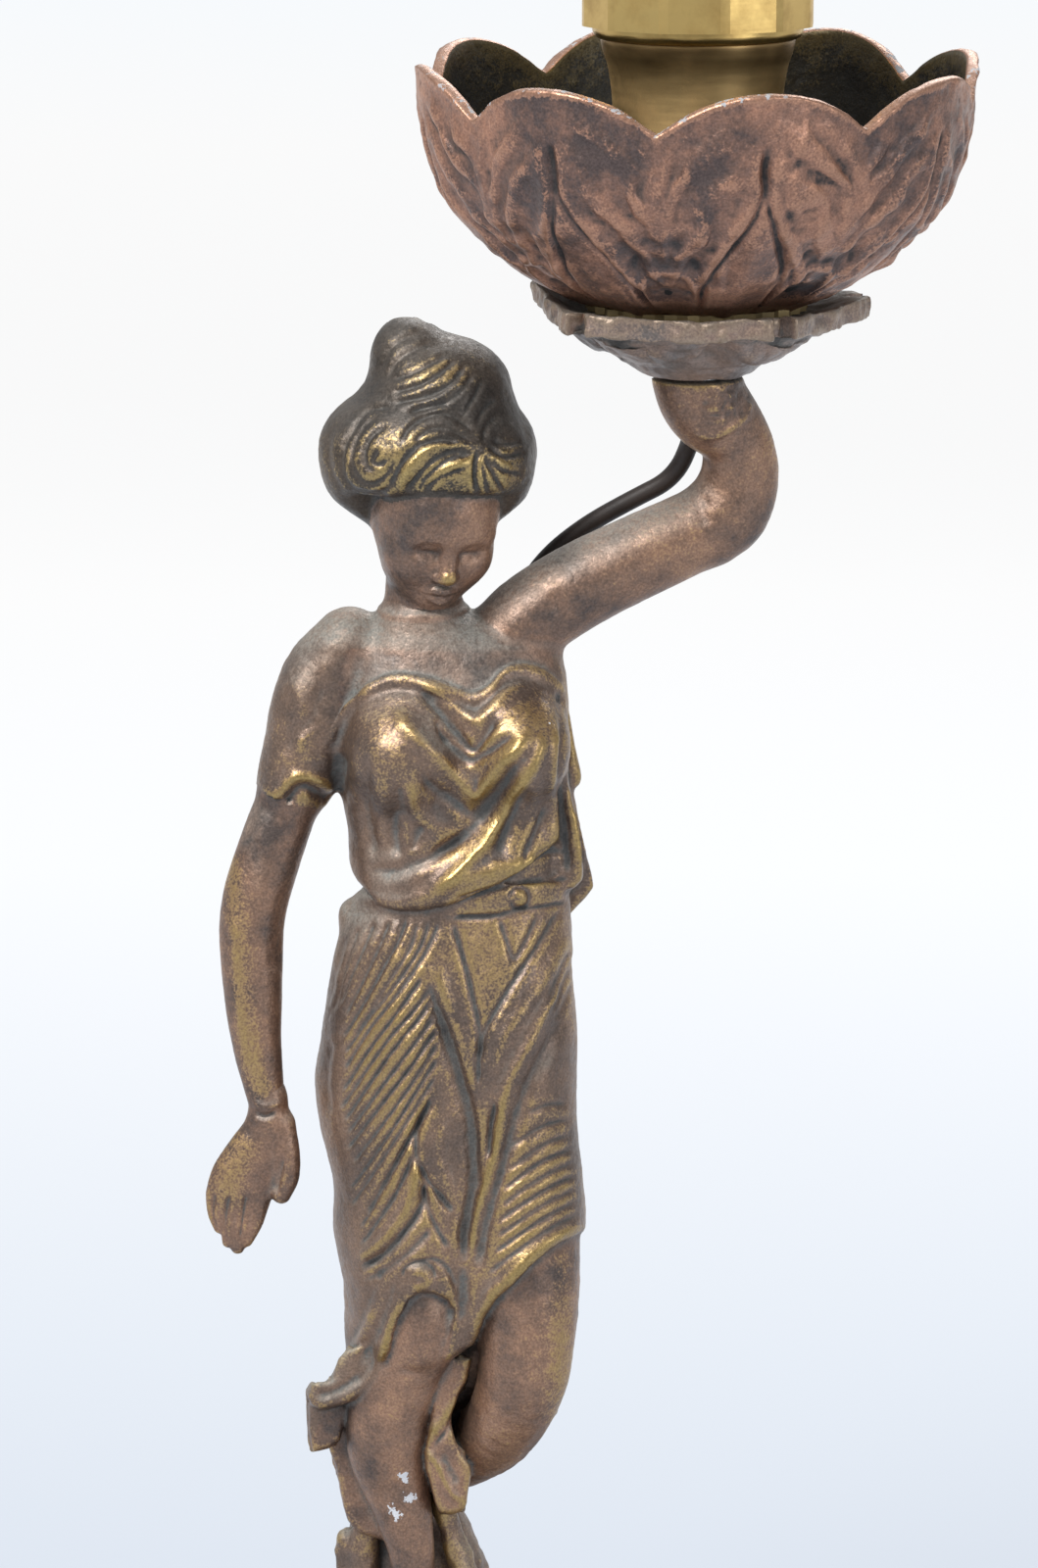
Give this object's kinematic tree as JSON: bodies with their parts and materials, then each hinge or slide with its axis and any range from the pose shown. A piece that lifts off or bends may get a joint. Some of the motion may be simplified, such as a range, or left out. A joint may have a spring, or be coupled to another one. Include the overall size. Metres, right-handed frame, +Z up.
{
  "type": "figural table lamp",
  "caption": "Table lamp: a draped standing figure on a rock and round base holds up a petal bowl with a brass screw lampholder and turn switch.",
  "frame": {"origin": "centre of the felted underside of the round base, on the surface the lamp stands on", "axes": "+Z up along the height, -Y out of the front that the figure faces, +X towards the side of the raised arm and bowl"},
  "size_m": [0.1635, 0.2291, 0.3985],
  "materials": {
    "bronze": "dark red-brown bronze finish over cast white metal, rubbed gold on the ridges, dusty on top",
    "copper_bronze": "copper-red bronze finish over cast white metal, dark in the grooves, worn pale at the rim",
    "brass": "satin brass, lightly tarnished",
    "iron": "rough casting",
    "steel": "zinc plated",
    "porcelain": "white unglazed block",
    "board": "brown fibre board",
    "insulation": "dark brown moulding",
    "flex": "dark brown flexible lead",
    "felt": "green felt"
  },
  "bodies": {
    "lamp": {"base_felt": "felt", "base_cover": "board", "base_plinth": "bronze", "base_weight": "iron", "tie_rod": "steel", "tie_rod_washer": "steel", "tie_rod_nut": "steel", "cord_bushing": "insulation", "rock": "bronze", "figure_body": "bronze", "head": "bronze", "lowered_arm": "bronze", "lowered_hand": "bronze", "raised_arm": "bronze", "raised_hand": "bronze", "back_grommet": "insulation", "arm_lead": "flex", "body_lead": "flex", "calyx_plate": "bronze", "seat_ring": "brass", "petal_bowl": "copper_bronze", "nipple": "steel", "nipple_locknut": "brass", "socket_cup": "brass", "socket_cap": "brass", "socket_shell": "brass", "socket_liner": "board", "socket_body": "porcelain", "screw_shell": "brass", "centre_contact": "brass", "terminal_screw_front": "brass", "terminal_screw_back": "brass", "switch_bush": "brass", "base_lead": "flex", "lead_splice": "insulation", "mains_lead": "flex", "lead_coil": "flex", "lead_tail": "flex", "plug_body": "insulation", "plug_blade_left": "brass", "plug_blade_right": "brass"},
    "switch": {"switch_shaft": "brass", "switch_knob": "insulation"}
  },
  "joints": [
    {"name": "switch_turn", "type": "hinge", "parent": "lamp", "child": "switch", "pos_m": [0.0551, 0, 0.3715], "axis": [1, 0, 0], "continuous": true}
  ]
}
